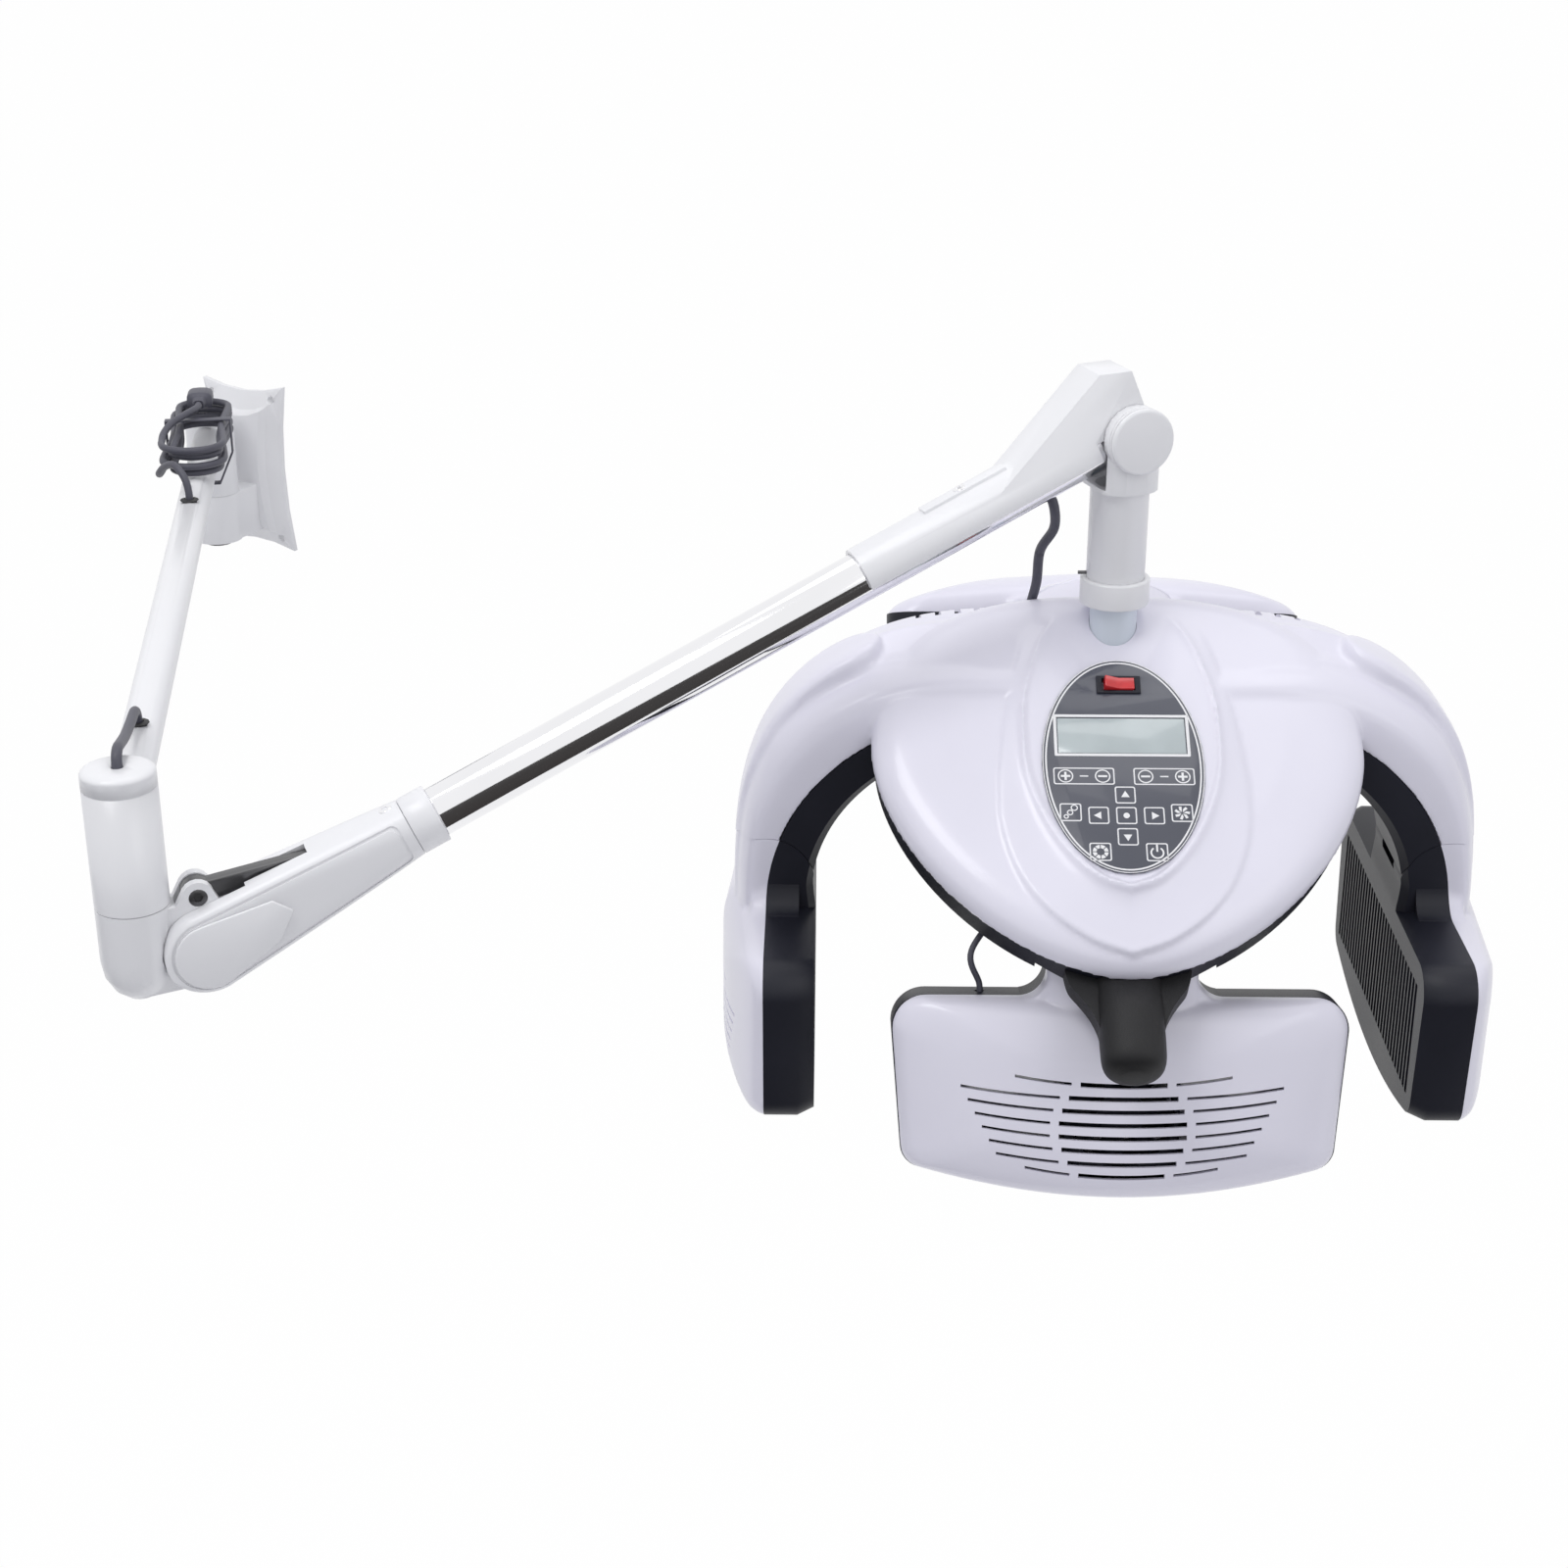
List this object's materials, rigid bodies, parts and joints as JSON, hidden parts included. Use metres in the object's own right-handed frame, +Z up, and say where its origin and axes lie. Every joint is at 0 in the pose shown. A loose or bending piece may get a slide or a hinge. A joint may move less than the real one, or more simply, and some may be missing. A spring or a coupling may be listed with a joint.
{
  "type": "wall-mounted hood dryer",
  "caption": "Wall-mounted salon hood dryer: a jointed swing arm carries a white hood with hinged heater wings, a control panel and a handle.",
  "frame": {"origin": "centre of the wall plate's back face, on the wall", "axes": "+Y into the wall, +Z up, +X to the right along the wall as seen from the room"},
  "size_m": [1.4008, 0.8554, 0.5527],
  "materials": {
    "arm_white": "semi-gloss powder coat",
    "hood_white": "glossy moulded",
    "black_plastic": "satin moulded",
    "panel_slate": "printed overlay",
    "display_glass": "clear window over a grey display",
    "rocker_red": "translucent gloss",
    "chrome_plate": "polished",
    "stem_blue": "smooth",
    "steel": "turned",
    "bronze": "machined",
    "reflector_sheet": "bright rolled",
    "quartz": "clear with ceramic ends",
    "cord_white": "matte sheath",
    "cord_grey": "matte sheath",
    "rubber_black": "matte"
  },
  "bodies": {
    "wall": {"wall_plate": "arm_white", "swivel_pin": "steel"},
    "first_arm": {"swivel_sleeve": "arm_white", "swivel_bush": "bronze", "swivel_cap": "black_plastic", "first_arm_tube": "arm_white", "elbow_post": "arm_white", "elbow_bush": "bronze", "mains_grommet": "rubber_black", "elbow_grommet": "rubber_black", "elbow_cable": "cord_grey", "mains_cord": "cord_white", "mains_plug": "cord_white", "hank_tie": "cord_white"},
    "elbow": {"elbow_knuckle": "arm_white", "elbow_spindle": "steel", "spring_bolt": "steel"},
    "balance_link": {"balance_rod": "chrome_plate"},
    "second_arm": {"lower_arm_housing": "arm_white", "pivot_cover_pin": "arm_white", "pivot_cover": "arm_white", "arm_collar": "arm_white", "chrome_tube": "chrome_plate", "upper_arm_cover": "arm_white", "spring_barrel": "steel", "head_cable_upper": "cord_grey"},
    "stem": {"stem_fork": "arm_white", "pivot_cap_pin": "arm_white", "pivot_cap": "arm_white", "stem_collar": "arm_white"},
    "head": {"inner_stem": "stem_blue", "top_cover": "hood_white", "bottom_case": "black_plastic", "handle": "black_plastic", "control_panel": "panel_slate", "lcd_window": "display_glass", "rocker_frame": "black_plastic", "centre_reflector": "reflector_sheet", "centre_lamp": "quartz", "head_cable_lower": "cord_grey", "front_cable": "cord_grey"},
    "rocker": {"rocker_button": "rocker_red"},
    "left_wing": {"left_wing_shell": "hood_white", "left_wing_liner": "black_plastic", "left_wing_reflector": "reflector_sheet", "left_wing_lamp": "quartz"},
    "right_wing": {"right_wing_shell": "hood_white", "right_wing_liner": "black_plastic", "right_wing_reflector": "reflector_sheet", "right_wing_lamp": "quartz"},
    "rear_wing": {"rear_wing_shell": "hood_white", "rear_wing_liner": "black_plastic", "rear_wing_reflector": "reflector_sheet", "rear_wing_lamp": "quartz"},
    "front_wing": {"front_wing_shell": "hood_white", "front_wing_liner": "black_plastic", "front_wing_reflector": "reflector_sheet", "front_wing_lamp": "quartz", "fan_frame": "black_plastic"},
    "fan": {"fan_rotor": "black_plastic"}
  },
  "joints": [
    {"name": "wall_swivel", "type": "hinge", "parent": "wall", "child": "first_arm", "pos_m": [0, -0.06, 0], "axis": [0, 0, 1], "range_deg": [-116, 43]},
    {"name": "elbow_swivel", "type": "hinge", "parent": "first_arm", "child": "elbow", "pos_m": [0.57044, -0.8309, 0], "axis": [0, 0, 1], "range_deg": [-215, 15]},
    {"name": "arm_tilt", "type": "hinge", "parent": "elbow", "child": "second_arm", "pos_m": [0.60074, -0.79832, -0.05], "axis": [0.7322, -0.6811, 0], "range_deg": [-42, 18]},
    {"name": "balance_rod_swing", "type": "hinge", "parent": "elbow", "child": "balance_link", "pos_m": [0.5987, -0.80051, -0.013], "axis": [0.7322, -0.6811, 0], "range_deg": [-42, 18]},
    {"name": "head_tilt", "type": "hinge", "parent": "second_arm", "child": "stem", "pos_m": [1.05082, -0.31449, 0.2409], "axis": [0.7322, -0.6811, 0], "range_deg": [-5, 50], "deforming": ["head_cable_upper"]},
    {"name": "head_swivel", "type": "hinge", "parent": "stem", "child": "head", "pos_m": [1.05082, -0.31449, 0.0954], "axis": [0, 0, 1], "range_deg": [-45, 45], "deforming": ["head_cable_lower"]},
    {"name": "left_wing_hinge", "type": "hinge", "parent": "head", "child": "left_wing", "pos_m": [0.82807, -0.42798, -0.0866], "axis": [-0.454, 0.891, 0], "range_deg": [-12, 25]},
    {"name": "right_wing_hinge", "type": "hinge", "parent": "head", "child": "right_wing", "pos_m": [1.27357, -0.20099, -0.0866], "axis": [0.454, -0.891, 0], "range_deg": [-12, 25]},
    {"name": "rear_wing_hinge", "type": "hinge", "parent": "head", "child": "rear_wing", "pos_m": [1.00479, -0.22414, 0.0726], "axis": [0.891, 0.454, 0], "range_deg": [-20, 8]},
    {"name": "front_wing_hinge", "type": "hinge", "parent": "head", "child": "front_wing", "pos_m": [1.12255, -0.45526, -0.1016], "axis": [-0.891, -0.454, 0], "range_deg": [-12, 4], "deforming": ["front_cable"]},
    {"name": "power_rocker", "type": "hinge", "parent": "head", "child": "rocker", "pos_m": [1.07479, -0.36152, 0.0705], "axis": [-0.3673, 0.7208, 0.5878], "range_deg": [-20, 0]},
    {"name": "fan_spin", "type": "hinge", "parent": "front_wing", "child": "fan", "pos_m": [1.13516, -0.48002, -0.19567], "axis": [0.4405, -0.8645, 0.2419], "continuous": true}
  ],
  "couplings": [
    {"joint": "balance_rod_swing", "follows": "arm_tilt", "ratio": 1}
  ]
}
